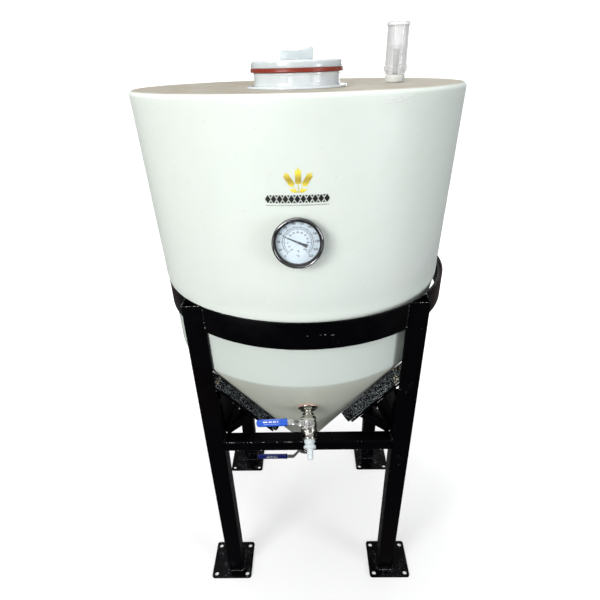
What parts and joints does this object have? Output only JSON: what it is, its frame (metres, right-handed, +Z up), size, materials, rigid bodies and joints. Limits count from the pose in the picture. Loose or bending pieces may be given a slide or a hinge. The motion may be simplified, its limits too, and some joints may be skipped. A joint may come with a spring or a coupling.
{
  "type": "conical fermenter",
  "caption": "Conical fermenter: cone-bottomed plastic tank in a welded black stand, with lid, airlock, dial thermometer, racking valve and dump valve.",
  "frame": {"origin": "on the floor, under the middle of the whole object's box", "axes": "+Z up; -Y is the front, the side with the thermometer and the racking valve; +X is to the right of someone facing the front, the side of the airlock"},
  "size_m": [0.5668, 0.5726, 1.1865],
  "materials": {
    "black_powder_coat": "gloss",
    "tank_polyethylene": "satin",
    "neck_plastic": "satin",
    "lid_plastic": "satin",
    "stopper_rubber": "matte",
    "red_silicone": "satin",
    "black_rubber": "matte",
    "pink_silicone": "matte",
    "black_foam": "matte",
    "clear_plastic": "clear",
    "lens_glass": "clear",
    "dial_white": "satin",
    "pointer_black": "satin",
    "stainless_steel": "polished",
    "blue_vinyl": "gloss",
    "barb_plastic": "satin"
  },
  "bodies": {
    "stand_and_tank": {"leg_front_left": "black_powder_coat", "leg_front_right": "black_powder_coat", "leg_rear_left": "black_powder_coat", "leg_rear_right": "black_powder_coat", "foot_plate_front_left": "black_powder_coat", "foot_plate_front_right": "black_powder_coat", "foot_plate_rear_left": "black_powder_coat", "foot_plate_rear_right": "black_powder_coat", "cradle_arm_front_left": "black_powder_coat", "cradle_arm_front_right": "black_powder_coat", "cradle_arm_rear_left": "black_powder_coat", "cradle_arm_rear_right": "black_powder_coat", "arm_strut_front_left": "black_powder_coat", "arm_strut_front_right": "black_powder_coat", "arm_strut_rear_left": "black_powder_coat", "arm_strut_rear_right": "black_powder_coat", "cradle_pad_front_left": "black_foam", "cradle_pad_front_right": "black_foam", "cradle_pad_rear_left": "black_foam", "cradle_pad_rear_right": "black_foam", "support_ring": "black_powder_coat", "cross_bar_front": "black_powder_coat", "cross_bar_rear": "black_powder_coat", "cross_bar_left": "black_powder_coat", "cross_bar_right": "black_powder_coat", "tank_shell": "tank_polyethylene", "neck_collar": "neck_plastic", "thermometer_case": "stainless_steel", "thermometer_lens": "lens_glass", "thermometer_dial": "dial_white", "thermometer_washer": "black_rubber", "thermometer_probe": "stainless_steel", "thermometer_nut": "stainless_steel", "racking_washer": "pink_silicone", "racking_bulkhead": "stainless_steel", "racking_locknut": "stainless_steel", "racking_valve_body": "stainless_steel", "racking_hose_barb": "barb_plastic", "dump_adapter": "stainless_steel", "dump_valve_body": "stainless_steel"},
    "seal_ring": {"lid_seal": "red_silicone"},
    "lid": {"lid_cap": "lid_plastic"},
    "stopper": {"airlock_stopper": "stopper_rubber"},
    "airlock": {"airlock_body": "clear_plastic"},
    "airlock_float": {"airlock_bell": "clear_plastic"},
    "airlock_lid": {"airlock_cap": "clear_plastic"},
    "thermometer_hand": {"thermometer_pointer": "pointer_black"},
    "racking_handle": {"racking_lever": "stainless_steel", "racking_grip": "blue_vinyl", "racking_lever_nut": "stainless_steel", "racking_valve_stem": "stainless_steel", "racking_valve_ball": "stainless_steel"},
    "dump_handle": {"dump_lever": "stainless_steel", "dump_grip": "blue_vinyl", "dump_lever_nut": "stainless_steel", "dump_valve_stem": "stainless_steel", "dump_valve_ball": "stainless_steel"},
    "racking_pickup": {"racking_arm": "stainless_steel"}
  },
  "joints": [
    {"name": "lid_lift", "type": "slide", "parent": "stand_and_tank", "child": "seal_ring", "axis": [0, 0, 1], "range_m": [0, 0.06]},
    {"name": "lid_turn", "type": "hinge", "parent": "seal_ring", "child": "lid", "pos_m": [-0.0036, 0.00647, 1.13], "axis": [0, 0, 1], "continuous": true},
    {"name": "stopper_pull", "type": "slide", "parent": "stand_and_tank", "child": "stopper", "axis": [0, 0, 1], "range_m": [0, 0.05]},
    {"name": "airlock_pull", "type": "slide", "parent": "stopper", "child": "airlock", "axis": [0, 0, 1], "range_m": [0, 0.04]},
    {"name": "airlock_float_rise", "type": "slide", "parent": "airlock", "child": "airlock_float", "axis": [0, 0, 1], "range_m": [0, 0.018]},
    {"name": "airlock_lid_pull", "type": "slide", "parent": "airlock", "child": "airlock_lid", "axis": [0, 0, 1], "range_m": [0, 0.03]},
    {"name": "thermometer_reading", "type": "hinge", "parent": "stand_and_tank", "child": "thermometer_hand", "pos_m": [-0.0036, -0.27727, 0.9194], "axis": [0, -1, 0], "range_deg": [-200, 60]},
    {"name": "racking_valve_turn", "type": "hinge", "parent": "stand_and_tank", "child": "racking_handle", "pos_m": [0.00698, -0.22649, 0.52729], "axis": [0.0253, -0.5572, 0.83], "range_deg": [0, 90]},
    {"name": "dump_valve_turn", "type": "hinge", "parent": "stand_and_tank", "child": "dump_handle", "pos_m": [-0.0036, 0.00647, 0.25], "axis": [0, -1, 0], "range_deg": [0, 90]},
    {"name": "racking_arm_turn", "type": "hinge", "parent": "stand_and_tank", "child": "racking_pickup", "pos_m": [0.00547, -0.19333, 0.5496], "axis": [0.0377, -0.8291, -0.5578], "continuous": true}
  ]
}
